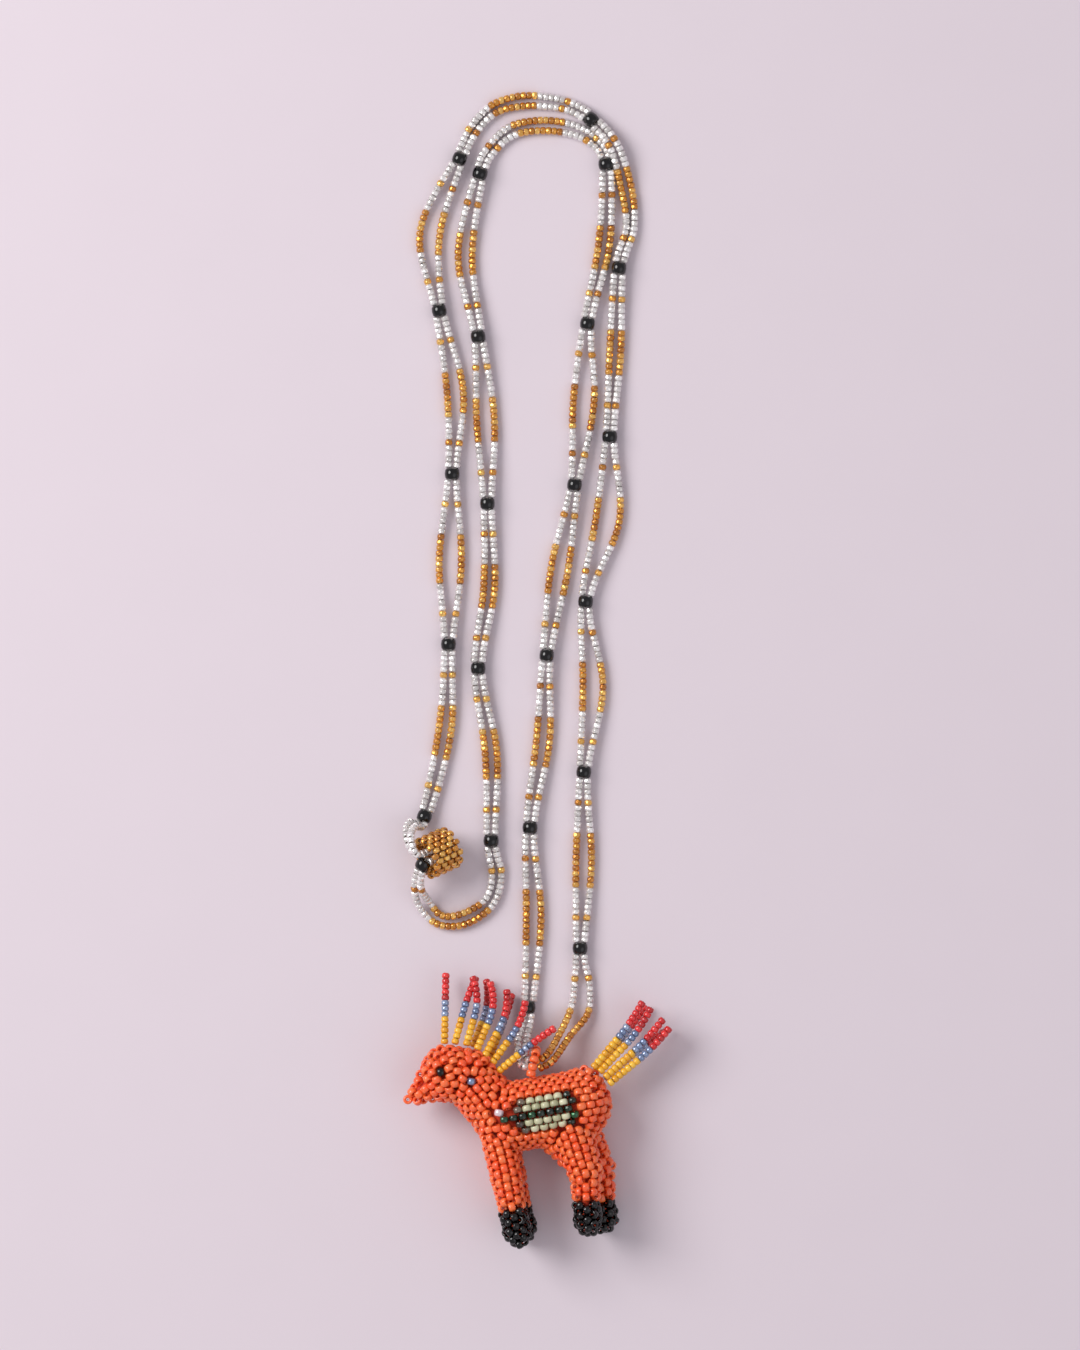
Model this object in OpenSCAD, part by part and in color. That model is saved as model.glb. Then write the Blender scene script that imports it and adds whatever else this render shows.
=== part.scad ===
// Beaded horse pendant on a two-strand bead necklace, lying on its right side.
// Millimetres. +X towards the tail, +Y towards the back, +Z up from the table.

/* [Beads] */
// Outside diameter of a bead of the horse's skin
body_bead_d = 2.5; // [2.3:0.1:2.6]
// Length of a body bead along its hole
body_bead_len = 1.8; // [1.5:0.05:1.85]
// Outside diameter of a strand bead
seed_d = 2.1; // [1.8:0.1:2.2]
// Pitch of the beads along a fringe strand
seed_pitch = 1.5; // [1.3:0.05:1.6]
// Outside diameter of a black spacer bead
spacer_d = 4; // [3.6:0.1:4]
// Length of a black spacer bead along its hole
spacer_len = 3; // [2.5:0.1:3.2]

/* [Horse] */
// Radius of the body tube
body_r = 9.7; // [9.5:0.1:9.9]
// Thickness of the beaded skin
skin_t = 2.6; // [2.55:0.05:2.8]
// Radius of the head at the cheeks
head_r = 7.6; // [7:0.1:8]
// Radius of the muzzle's tip
muzzle_r = 2.3; // [2:0.1:2.6]
// Radius of a leg just above its hoof
ankle_r = 3.9; // [3.6:0.1:4.1]
// Radius of a hoof
hoof_r = 4.3; // [4.1:0.1:4.4]
// Length of a front hoof
front_hoof_len = 11; // [9:0.5:12]
// Length of a hind hoof
hind_hoof_len = 10; // [9:0.5:12]
// Beads on a mane strand
mane_beads = 13; // [10:1:13]
// Beads on a tail strand
tail_beads = 15; // [12:1:16]

/* [Hanging loop] */
// Radius of the loop's round end, to the bead centres
loop_r = 3.5; // [3.4:0.1:3.8]
// Lean of the loop from the back, in degrees
loop_lean = 13; // [8:1:15]

/* [Gold ring] */
// Outside diameter of the gold tube ring
ring_d = 12; // [11.6:0.1:12.4]
// Length of the gold tube ring
ring_len = 10; // [9:0.5:10.5]

/* [Hidden] */
$fn = 64;

mid = body_r;              // height of the horse's mid-plane
step_in = 0.25;            // how far a limb's cone lies inside its end spheres
fit = 0.03;                // gap between a filling and the skin around it
bead_gap = 0.06;           // gap between two strand beads
thread_r = 0.2;
hole_r = 0.4;

// Joint centres of the horse's body, with their radii
chest = [-8.5, -1.8, mid];
rump = [9.6, 1.4, mid];
throat = [-20.5, 9.2, mid];
cheek = [-25, 9.9, mid];
nose = [-34.8, 3.4, mid];
groin = [3, -1.5, mid];
neck_root = [-10.5, -1, mid];
throat_r = 7.2;
knee_web = [9, -10.5, mid];
body_tilt = atan2(rump.y - chest.y, rump.x - chest.x);
body_len = norm(rump - chest);
barrel_r = body_r - step_in;

// Each leg: top, knee and ankle as [x, y, height above the mid-plane, radius]
front_leg = [[-11.4, -8, 3.9, 4.8], [-9.5, -17.2, 4.6, 4.4], [-7.7, -26.2, 5, ankle_r]];
front_leg_2 = [[-10.4, -8.5, 3.8, 4.9], [-8.4, -17.2, 4.6, 4.4], [-6.4, -25.6, 5, ankle_r]];
hind_leg = [[8, -5, 3.3, 6.4], [11.8, -15.7, 4.4, 4.9], [12.2, -24.2, 4.9, ankle_r]];
hind_leg_2 = [[9.5, -4.5, 3.2, 6.4], [15.4, -15.8, 4.4, 4.8], [16.3, -24.2, 4.9, ankle_r]];

// Mane strands: root x, y, height from the mid-plane, heading, droop
mane = [
    [-26.0, 17.8, 0.3, 89, 14], [-23.3, 17.8, 0.6, 75, 14], [-20.2, 17.4, 1.0, 74, 12],
    [-17.3, 16.3, 1.0, 67, 11], [-15.3, 14.5, 1.0, 62, 9], [-13.3, 12.6, 1.0, 54, 4],
    [-11.6, 10.5, 1.0, 40, -7], [-18.4, 16.9, -2.4, 70, 17], [-14.2, 13.5, -2.4, 68, 17]
];

// Tail strands: root direction from the rump (angle in plan, angle above the
// mid-plane), heading, droop
tail = [
    [63, 8, 54, 4], [51, 8, 49, 4], [39, 8, 42, 4], [27, 8, 37, 4],
    [57, -14, 52, 13], [37, -14, 40, 13]
];

// Middle of the two necklace strands: x, y, z, half their spacing, and the tilt
// of the pair from side by side (0) to one above the other (90)
low = 1.1;                 // height of a strand's middle on the table
up = 2.05;                 // height at a spacer bead
near = 1.12;               // half spacing where the strands lie together
route = [
    [-1.8, 12.2, 9.7, near, 0], [-4.9, 13.4, 9.3, near, 0], [-5.1, 18.4, 6.4, near, 0],
    [-3.5, 27.5, up, near, 0], [-2, 52, low, 2, 0], [-3, 76, up, near, 0],
    [0.5, 99.5, low, 1.8, 0], [1.5, 122.5, up, near, 0], [5, 146, low, 2.3, 0],
    [9, 168.5, up, near, 0], [11.5, 191, low, 2.8, 0], [12.5, 212, up, near, 0],
    [17, 233.5, low, 1.5, 0], [17.5, 255, up, near, 0], [14, 261.5, low, near, 0],
    [8, 264.5, low, 1.3, 0], [0, 265.5, low, 1.4, 0], [-8, 264, low, 1.3, 0],
    [-13.5, 259, low, near, 0], [-16.5, 252.5, up, near, 0], [-20.5, 230.5, low, 1.9, 0],
    [-17, 208.5, up, near, 0], [-15, 186, low, 2.4, 0], [-14.5, 163.5, up, near, 0],
    [-14, 141, low, 1.5, 0], [-17, 119, up, near, 0], [-13.5, 96, low, 1.6, 0],
    [-13.5, 72.5, up, near, 0], [-12, 63.5, low, 1.3, 0], [-14, 56, low, 1.3, 0],
    [-20.5, 51.5, low, 1.5, 0], [-27, 51, low, 1.3, 0], [-31.2, 54.8, 1.7, 1.5, 0],
    [-33.3, 60.3, 7.2, 1.2, -45], [-31.8, 66.2, 10.8, near, -55],
    [-29.3, 67.2, 9.1, near, -90], [-25.7, 68.9, 6.7, near, -90],
    [-26.7, 71.2, 6.7, near, -90], [-30.4, 69.7, 9.1, near, -90],
    [-33.6, 69.0, 11.5, near, -80], [-35.6, 73.2, 11.5, near, -60],
    [-35.0, 76.8, 6.8, near, -30], [-31.5, 79, up, near, 0], [-26, 102, low, 1.7, 0],
    [-25, 125.5, up, near, 0], [-24.5, 148, low, 3, 0], [-24, 171.5, up, near, 0],
    [-23.2, 193.5, low, 2.2, 0], [-27.5, 215.5, up, near, 0], [-30, 236.5, low, 2.7, 0],
    [-22, 256.5, up, near, 0], [-18.5, 264, low, near, 0], [-13, 269.8, low, 1.2, 0],
    [-6, 272, low, 1.4, 0], [1, 272, low, 1.3, 0], [8, 270.5, low, near, 0],
    [13.5, 267, up, near, 0], [19.5, 260, 3.2, near, 0], [23, 248.5, low, 1.4, 0],
    [24, 238, low, near, 0], [21, 227, up, near, 0], [20, 204, low, 1.5, 0],
    [18.5, 181.5, up, near, 0], [18, 159.5, low, 3.2, 0], [12, 137, up, near, 0],
    [14, 114, low, 2.7, 0], [11.5, 91, up, near, 0], [11.5, 66.5, low, 2.1, 0],
    [10.5, 43.5, up, near, 0], [11, 34, low, 2, 0], [10.4, 26.8, 1.6, 2.4, 0],
    [6.6, 20.6, 4.4, 1.4, 0], [2.4, 14.3, 8.9, near, 0], [-1.3, 12.2, 9.7, near, 0]
];
// The route's points that carry a black spacer bead
spacers = [3, 5, 7, 9, 11, 13, 19, 21, 23, 25, 27, 34, 42, 44, 46, 48, 50, 56, 60, 62, 64,
    66, 68];

ring_mid = [-27.9, 69.3, 7.8];
ring_turn = 24;            // heading of the ring's axis
ring_rise = 30;            // how far its open end is raised

loop_root = [-3, 8.9, mid];

function unit(v) = v / norm(v);
function last(i) = min(i, len(route) - 1);
function xyz(i) = [route[i].x, route[i].y, route[i].z];
function along(i) = unit(xyz(last(i + 1)) - xyz(max(i - 1, 0)));
function aside(t) = unit([-t.y, t.x, 0]);
function strand_at(i, side) =
    let (n = aside(along(i)), h = route[i][3], a = route[i][4])
    xyz(i) + side * h * (n * cos(a) + [0, 0, 1] * sin(a));
function strand(side) = [for (i = [0:len(route) - 1]) strand_at(i, side)];

// ---- shared shapes ----

// A round limb from a to b: a cone with a ball at each end. A limb that goes on from
// another one's end has no ball of its own there
module limb(a, b, ra, rb, own_ball = true) {
    v = b - a;
    translate(a)
        rotate([0, acos(v.z / norm(v)), atan2(v.y, v.x)]) {
            if (own_ball) sphere(r = ra);
            cylinder(h = norm(v), r1 = ra - step_in, r2 = max(rb - step_in, 0.3));
            translate([0, 0, norm(v)]) sphere(r = rb);
        }
}

// A cone from a to b
module shaft(a, b, ra, rb) {
    v = b - a;
    translate(a)
        rotate([0, acos(v.z / norm(v)), atan2(v.y, v.x)])
            cylinder(h = norm(v), r1 = ra, r2 = max(rb, 0.3));
}

// The horse's body, neck and head, with every radius smaller by cut. Inside, where
// cut isn't 0, the throat's and cheek's balls meet with no cone between them
module body_form(cut) {
    limb(chest, rump, body_r - cut, body_r - cut);
    limb(groin, knee_web, 9 - cut, 6 - cut, false);
    limb(neck_root, throat, 8.4 - cut, throat_r - cut, false);
    if (cut == 0) limb(throat, cheek, throat_r, head_r, false);
    limb(cheek, nose, head_r - cut, max(muzzle_r - cut, 0.6), cut > 0);
}

// A point of a leg; side is 1 for the near legs and -1 for the far ones
function leg_at(p, side) = [p.x, p.y, mid + side * p.z];

module leg_form(p, side, cut) {
    translate(leg_at(p[0], side)) sphere(r = p[0][3] - cut);
    translate(leg_at(p[1], side)) sphere(r = p[1][3] - cut);
    shaft(leg_at(p[0], side), leg_at(p[1], side), p[0][3] - step_in - cut, p[1][3] - step_in - cut);
    shaft(leg_at(p[1], side), leg_at(p[2], side), p[1][3] - step_in - cut, p[2][3] - cut);
}

// Turns and moves its children so that +Z runs down the shin from the ankle
module at_ankle(p, side) {
    v = leg_at(p[2], side) - leg_at(p[1], side);
    translate(leg_at(p[2], side))
        rotate([0, acos(v.z / norm(v)), atan2(v.y, v.x)]) children();
}

// Everything on the other side of the mid-plane
module other_side(side) {
    translate([-60, -60, side > 0 ? mid - 60 + 0.05 : mid - 0.05]) cube([120, 120, 60]);
}

// Beaded tube of a leg, open at the ankle
module leg_skin(p, side) {
    difference() {
        leg_form(p, side, 0);
        leg_form(p, side, skin_t);
        at_ankle(p, side) translate([0, 0, -4]) cylinder(h = 8, r = ankle_r - skin_t);
        body_form(0);
        other_side(side);
    }
}

// Stuffing of a leg, from the body (or from the knee) down into the hoof
module leg_core(p, side, hoof_len, from_knee) {
    cut = skin_t + fit;
    knee = leg_at(p[1], side);
    difference() {
        union() {
            if (!from_knee)
                shaft(leg_at(p[0], side), knee, p[0][3] - step_in - cut, p[1][3] - step_in - cut);
            translate(knee) sphere(r = p[1][3] - cut);
            shaft(knee, leg_at(p[2], side), p[1][3] - step_in - cut, ankle_r - cut);
            at_ankle(p, side) translate([0, 0, -2])
                cylinder(h = 2 + hoof_len * 0.55, r = ankle_r - cut - 0.02);
        }
        if (from_knee) translate(knee_web) sphere(r = 6);
        else limb(chest, rump, body_r, body_r);
    }
}

// Black beaded cap at the end of a leg
module hoof(p, side, hoof_len) {
    at_ankle(p, side) difference() {
        union() {
            cylinder(h = hoof_len - hoof_r, r = hoof_r - 0.2);
            translate([0, 0, hoof_len - hoof_r]) sphere(r = hoof_r);
        }
        translate([0, 0, -1]) cylinder(h = 1 + hoof_len * 0.55 + fit, r = ankle_r - skin_t);
    }
}

// A rounded glass bead with its hole along Z
module bead(d, length) {
    difference() {
        intersection() {
            sphere(d = d);
            cylinder(h = length, d = d + 1, center = true);
        }
        cylinder(h = d * 2, r = hole_r, center = true);
    }
}

// A bead set flush in the skin of a ball at c, seen from above at the offset dx, dy, and
// raised by proud
module set_bead(c, r, dx, dy, side, proud = 0) {
    z = sqrt(r * r - dx * dx - dy * dy);
    k = (r - body_bead_d / 2 - 0.02 + proud) / r;
    translate(c + [dx * k, dy * k, side * z * k]) rotate([90, 0, 0])
        bead(body_bead_d, body_bead_len);
}

// The gap in the skin that takes such a bead
module bead_gap_in_skin(c, r, dx, dy, side) {
    z = sqrt(r * r - dx * dx - dy * dy);
    v = [dx, dy, side * z] / r;
    shaft(c + v * (r - skin_t - 1), c + v * (r + 2), body_bead_d / 2 + 0.05,
        body_bead_d / 2 + 0.05);
}

module both_sides() {
    for (side = [1, -1]) let ($side = side) children();
}

// Moves its children to the body tube's own axis, from its middle
module at_body_axis() {
    translate((chest + rump) / 2) rotate([0, 0, body_tilt]) children();
}

// One bead of the wing on the body tube: u along the tube, row round it
module wing_bead(u, row, side) {
    at_body_axis() translate([u, 0, 0]) rotate([-13 * row * side, 0, 0])
        translate([0, 0, side * (barrel_r - body_bead_d / 2 + 0.06)]) rotate([90, 0, 0])
            bead(body_bead_d - 0.16, body_bead_len - 0.2);
}

// The gap in the skin that the wing's beads fill
module wing_gap(side) {
    at_body_axis() {
        translate([-8.2, -4.85, side > 0 ? 2 : -22]) cube([17.8, 9.7, 20]);
        translate([-11.9, -1, side > 0 ? 2 : -22]) cube([4, 2, 20]);
    }
}

// A fringe strand: beads on a thread, from its root
module fringe(root, heading, droop, count) {
    translate(root) rotate([0, 0, heading]) rotate([0, droop + 90, 0]) {
        for (i = [0:count - 1]) translate([0, 0, 0.5 + (i + 0.5) * seed_pitch])
            bead(seed_d, seed_pitch - bead_gap);
        translate([0, 0, 0.05]) cylinder(h = 0.45 + count * seed_pitch, r = thread_r);
    }
}

module mane_strand(i) {
    m = mane[i];
    color(i < 7 ? "gold" : "goldenrod")
        fringe([m.x, m.y, mid + m.z], m[3], m[4], mane_beads);
}

function tail_root(i) =
    rump + (body_r + 0.15) * [cos(tail[i][0]) * cos(tail[i][1]),
        sin(tail[i][0]) * cos(tail[i][1]), sin(tail[i][1])];

module tail_strand(i) {
    color("gold") fringe(tail_root(i), tail[i][2], tail[i][3], tail_beads);
}

// A round tube swept along a list of points
module swept(points, r, sides) {
    n = len(points);
    rings = [for (i = [0:n - 1])
        let (t = unit(points[min(i + 1, n - 1)] - points[max(i - 1, 0)]),
            s = aside(t), k = cross(t, s))
        for (j = [0:sides - 1]) points[i] + r * (s * cos(j * 360 / sides) + k * sin(j * 360 / sides))];
    walls = [for (i = [0:n - 2]) for (j = [0:sides - 1])
        let (a = i * sides + j, b = i * sides + (j + 1) % sides)
        each [[a, b, b + sides], [a, b + sides, a + sides]]];
    caps = [[for (j = [0:sides - 1]) sides - 1 - j], [for (j = [0:sides - 1]) (n - 1) * sides + j]];
    polyhedron(points = rings, faces = concat([for (f = walls) [f[2], f[1], f[0]]],
        [for (f = caps) [for (k = [len(f) - 1:-1:0]) f[k]]]));
}

// ---- the horse ----

module body_skin() {
    color("orangered") difference() {
        body_form(0);
        body_form(skin_t);
        for (side = [1, -1]) {
            bead_gap_in_skin(cheek, head_r, -2.3, 0.9, side);
            bead_gap_in_skin(throat, throat_r, 2.1, -1.3, side);
            bead_gap_in_skin(chest, body_r, -3.2, 1.8, side);
            wing_gap(side);
        }
    }
}

module body_stuffing() {
    color("ivory") body_form(skin_t + fit);
}

module front_leg_near() { color("orangered") leg_skin(front_leg, 1); }
module front_leg_far() { color("orangered") leg_skin(front_leg_2, -1); }
module hind_leg_near() { color("orangered") leg_skin(hind_leg, 1); }
module hind_leg_far() { color("orangered") leg_skin(hind_leg_2, -1); }

module front_core_near() { color("ivory") leg_core(front_leg, 1, front_hoof_len, false); }
module front_core_far() { color("ivory") leg_core(front_leg_2, -1, front_hoof_len, false); }
module hind_core_near() { color("ivory") leg_core(hind_leg, 1, hind_hoof_len, true); }
module hind_core_far() { color("ivory") leg_core(hind_leg_2, -1, hind_hoof_len, true); }

module front_hoof_near() { color("black") hoof(front_leg, 1, front_hoof_len); }
module front_hoof_far() { color("black") hoof(front_leg_2, -1, front_hoof_len); }
module hind_hoof_near() { color("black") hoof(hind_leg, 1, hind_hoof_len); }
module hind_hoof_far() { color("black") hoof(hind_leg_2, -1, hind_hoof_len); }

module eye_beads() {
    color("black") for (side = [1, -1]) set_bead(cheek, head_r, -2.3, 0.9, side);
}

module cheek_beads() {
    color("steelblue") for (side = [1, -1]) set_bead(throat, throat_r, 2.1, -1.3, side, 0.25);
}

module chest_beads() {
    color("mistyrose") for (side = [1, -1]) set_bead(chest, body_r, -3.2, 1.8, side);
}

module wing_pale_beads() {
    color("beige") for (side = [1, -1]) for (row = [-2, -1, 1, 2])
        for (j = [1:abs(row) == 2 ? 4 : 5])
            wing_bead((abs(row) == 2 ? -5.4 : -6.65) + 2.5 * j, row, side);
}

module wing_green_beads() {
    color("darkgreen") for (side = [1, -1]) {
        for (j = [0:7]) wing_bead(-10.6 + 2.5 * j, 0, side);
        for (row = [-2, -1, 1, 2])
            wing_bead(abs(row) == 2 ? 7.1 : 8.35, row, side);
    }
}

module wing_bronze_beads() {
    color("dimgray") for (side = [1, -1]) for (row = [-2, -1, 1, 2])
        wing_bead(abs(row) == 2 ? -5.4 : -6.65, row, side);
}

// ---- the hanging loop: beads on a thread that stands on the back ----

module at_loop() {
    translate(loop_root) rotate([0, 0, -loop_lean]) children();
}

module loop_beads() {
    leg_beads = 2;
    color("orangered") at_loop() {
        for (side = [1, -1]) for (i = [0:leg_beads - 1])
            translate([0, 0.35 + (i + 0.5) * 1.85, side * loop_r]) rotate([90, 0, 0])
                bead(body_bead_d, body_bead_len);
        for (i = [0:4])
            translate([0, 0.35 + leg_beads * 1.85, 0]) rotate([-(i + 0.5) * 36, 0, 0])
                translate([0, 0, loop_r]) rotate([90, 0, 0])
                    bead(body_bead_d, body_bead_len - 0.35);
    }
}

module loop_thread() {
    color("white") at_loop() {
        for (side = [1, -1])
            translate([0, 0, side * loop_r]) rotate([-90, 0, 0]) cylinder(h = 4.05, r = thread_r);
        translate([0, 4.05, 0]) rotate([0, 0, 0]) rotate([0, 90, 0])
            rotate_extrude(angle = 180) translate([loop_r, 0]) circle(r = thread_r);
    }
}

// ---- the fringes ----

module mane_1() { mane_strand(0); }
module mane_2() { mane_strand(1); }
module mane_3() { mane_strand(2); }
module mane_4() { mane_strand(3); }
module mane_5() { mane_strand(4); }
module mane_6() { mane_strand(5); }
module mane_7() { mane_strand(6); }
module mane_8() { mane_strand(7); }
module mane_9() { mane_strand(8); }

module tail_1() { tail_strand(0); }
module tail_2() { tail_strand(1); }
module tail_3() { tail_strand(2); }
module tail_4() { tail_strand(3); }
module tail_5() { tail_strand(4); }
module tail_6() { tail_strand(5); }

// ---- the necklace ----

module necklace_strand_1() { color("lightgray") swept(strand(1), seed_d / 2, 8); }
module necklace_strand_2() { color("wheat") swept(strand(-1), seed_d / 2, 8); }

module spacer_beads() {
    color("black") for (i = spacers) {
        t = along(i);
        translate(xyz(i)) rotate([0, acos(t.z), atan2(t.y, t.x)]) difference() {
            intersection() {
                sphere(d = spacer_d);
                cylinder(h = spacer_len, d = spacer_d + 1, center = true);
            }
            cylinder(h = 9, r = 0.7, center = true);
        }
    }
}

module gold_ring() {
    color("goldenrod") translate(ring_mid) rotate([0, 0, ring_turn]) rotate([0, 90 + ring_rise, 0])
        difference() {
            cylinder(h = ring_len, d = ring_d, center = true);
            cylinder(h = ring_len + 2, r = ring_d / 2 - seed_d, center = true);
        }
}

body_skin();
body_stuffing();
front_leg_near();
front_leg_far();
hind_leg_near();
hind_leg_far();
front_core_near();
front_core_far();
hind_core_near();
hind_core_far();
front_hoof_near();
front_hoof_far();
hind_hoof_near();
hind_hoof_far();
eye_beads();
cheek_beads();
chest_beads();
wing_pale_beads();
wing_green_beads();
wing_bronze_beads();
loop_beads();
loop_thread();
mane_1();
mane_2();
mane_3();
mane_4();
mane_5();
mane_6();
mane_7();
mane_8();
mane_9();
tail_1();
tail_2();
tail_3();
tail_4();
tail_5();
tail_6();
necklace_strand_1();
necklace_strand_2();
spacer_beads();
gold_ring();
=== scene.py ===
"""A beaded horse pendant that lies on its right side, on its long two-strand bead necklace.

Lengths are metres in the CAD model's frame: +X towards the tail, +Y towards the back, +Z up
from the table. The bead layouts are worked out in millimetres and scaled as they become meshes.
"""

import math

import bpy
import numpy as np
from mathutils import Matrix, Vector


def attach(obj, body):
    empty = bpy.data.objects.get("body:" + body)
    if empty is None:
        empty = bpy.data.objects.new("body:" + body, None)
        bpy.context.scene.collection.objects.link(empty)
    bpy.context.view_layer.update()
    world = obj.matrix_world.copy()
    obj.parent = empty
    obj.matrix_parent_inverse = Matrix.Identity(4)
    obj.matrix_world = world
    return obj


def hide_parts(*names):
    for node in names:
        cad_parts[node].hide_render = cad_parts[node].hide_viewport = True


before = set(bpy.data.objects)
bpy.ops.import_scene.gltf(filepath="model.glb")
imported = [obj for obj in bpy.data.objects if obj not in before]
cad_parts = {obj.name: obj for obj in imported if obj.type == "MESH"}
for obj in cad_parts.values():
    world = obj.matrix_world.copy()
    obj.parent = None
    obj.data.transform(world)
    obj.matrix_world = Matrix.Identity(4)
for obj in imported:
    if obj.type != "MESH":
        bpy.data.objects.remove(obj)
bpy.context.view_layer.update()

MM = 0.001
RANDOM = np.random.default_rng(7)

# Beads, in millimetres: outside diameter, length along the hole
BODY_BEAD = (2.58, 1.85)
WING_BEAD = (2.44, 1.62)
SEED_BEAD = (2.1, 1.44)
SPACER_BEAD = (4.05, 3.0)
COLUMN = 1.87              # from one column of body beads to the next, round the tube
THREAD_R = 0.16

# ---- camera ----

VIEW_CENTRE = (-0.0003, 0.1172)
VIEW_HEIGHT = 0.3645       # what the frame's long side covers on the table
CAMERA_UP = 2.6            # far enough for the photo's flat, straight-down look
SENSOR = 36


def make_camera():
    data = bpy.data.cameras.new("camera")
    data.sensor_width = SENSOR
    data.lens = SENSOR * CAMERA_UP / VIEW_HEIGHT
    data.clip_start = 0.05
    camera = bpy.data.objects.new("camera", data)
    camera.location = (*VIEW_CENTRE, CAMERA_UP)
    bpy.context.scene.collection.objects.link(camera)
    bpy.context.scene.camera = camera


make_camera()

# ---- materials ----

# Bead glass: its gloss, and the scale and strength of its cloudiness and facets
GLASS_IOR = 1.52
COAT_ROUGHNESS = 0.07
CLOUD_SCALE = 900
CLOUD_SHARE = 0.12
CLOUD_BUMP = 0.06
FACET_SCALE = 1500.0
# How far light spreads inside a soft glass: metres, and the share of it for each colour
SOFT_REACH = 0.0012
SOFT_COLOURS = (1.0, 0.35, 0.2)


def new_material(name):
    material = bpy.data.materials.new(name)
    material.use_nodes = True
    tree = material.node_tree
    return material, tree, tree.nodes["Principled BSDF"]


def node(tree, kind, inputs=None, **settings):
    made = tree.nodes.new(kind)
    for name, value in settings.items():
        setattr(made, name, value)
    for name, value in (inputs or {}).items():
        made.inputs[name].default_value = value
    return made


def ramp(tree, factor, stops):
    made = tree.nodes.new("ShaderNodeValToRGB")
    elements = made.color_ramp.elements
    while len(elements) < len(stops):
        elements.new(0.5)
    for element, (place, colour) in zip(elements, stops):
        element.position = place
        element.color = (*colour, 1)
    tree.links.new(factor, made.inputs["Fac"])
    return made.outputs["Color"]


def srgb(r, g, b):
    """A colour given as it looks on a screen, 0 to 255, as the linear numbers a shader takes."""
    return tuple(
        (c / 255 / 12.92) if c <= 10 else ((c / 255 + 0.055) / 1.055) ** 2.4 for c in (r, g, b)
    )


def bead_glass(name, shades, rough, coat, metallic=0.0, facets=0.0, soft=0.0):
    """Bead glass whose colour runs through shades from bead to bead, with a faint cloudiness in
    each bead. facets gives the broken sparkle of a silver-lined bead, and soft lets light spread
    inside it."""
    material, tree, shader = new_material(name)
    tone = node(tree, "ShaderNodeAttribute", attribute_name="tone")
    place = node(tree, "ShaderNodeTexCoord").outputs["Object"]
    noise = node(tree, "ShaderNodeTexNoise",
                 {"Scale": CLOUD_SCALE, "Detail": 3.0, "Roughness": 0.6})
    tree.links.new(place, noise.inputs["Vector"])
    mixed = node(tree, "ShaderNodeMath", operation="MULTIPLY_ADD")
    mixed.inputs[1].default_value = CLOUD_SHARE * 2
    tree.links.new(noise.outputs["Fac"], mixed.inputs[0])
    shifted = node(tree, "ShaderNodeMath", operation="SUBTRACT")
    shifted.inputs[1].default_value = CLOUD_SHARE
    tree.links.new(tone.outputs["Fac"], shifted.inputs[0])
    tree.links.new(shifted.outputs[0], mixed.inputs[2])
    stops = [(i / (len(shades) - 1), srgb(*s)) for i, s in enumerate(shades)]
    tree.links.new(ramp(tree, mixed.outputs[0], stops), shader.inputs["Base Color"])
    shader.inputs["Roughness"].default_value = rough
    shader.inputs["Metallic"].default_value = metallic
    shader.inputs["IOR"].default_value = GLASS_IOR
    shader.inputs["Coat Weight"].default_value = coat
    shader.inputs["Coat Roughness"].default_value = COAT_ROUGHNESS
    if soft:
        shader.inputs["Subsurface Weight"].default_value = soft
        shader.inputs["Subsurface Radius"].default_value = SOFT_COLOURS
        shader.inputs["Subsurface Scale"].default_value = SOFT_REACH
    if facets:
        cells = node(tree, "ShaderNodeTexVoronoi", {"Scale": FACET_SCALE})
        tree.links.new(place, cells.inputs["Vector"])
        height = cells.outputs["Distance"]
    else:
        height = noise.outputs["Fac"]
    bump = node(tree, "ShaderNodeBump", {"Strength": facets or CLOUD_BUMP, "Distance": 0.0003})
    tree.links.new(height, bump.inputs["Height"])
    tree.links.new(bump.outputs["Normal"], shader.inputs["Normal"])
    return material


def thread_material(name, shade):
    """Waxed nylon: fine plies along a smooth thread, with painted shade in the grooves between the
    plies.
    """
    material, tree, shader = new_material(name)
    place = node(tree, "ShaderNodeTexCoord").outputs["Object"]
    plies = node(tree, "ShaderNodeTexWave", {"Scale": 900.0, "Distortion": 2.0, "Detail": 2.0})
    tree.links.new(place, plies.inputs["Vector"])
    # painted shade: the grooves between the plies, where the bump is low, are painted 28% darker
    dark = tuple(c * 0.72 for c in shade)
    stops = [(0.2, srgb(*dark)), (0.8, srgb(*shade))]
    tree.links.new(ramp(tree, plies.outputs["Fac"], stops), shader.inputs["Base Color"])
    shader.inputs["Roughness"].default_value = 0.55
    bump = node(tree, "ShaderNodeBump", {"Strength": 0.3, "Distance": 0.0001})
    tree.links.new(plies.outputs["Fac"], bump.inputs["Height"])
    tree.links.new(bump.outputs["Normal"], shader.inputs["Normal"])
    return material


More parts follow.
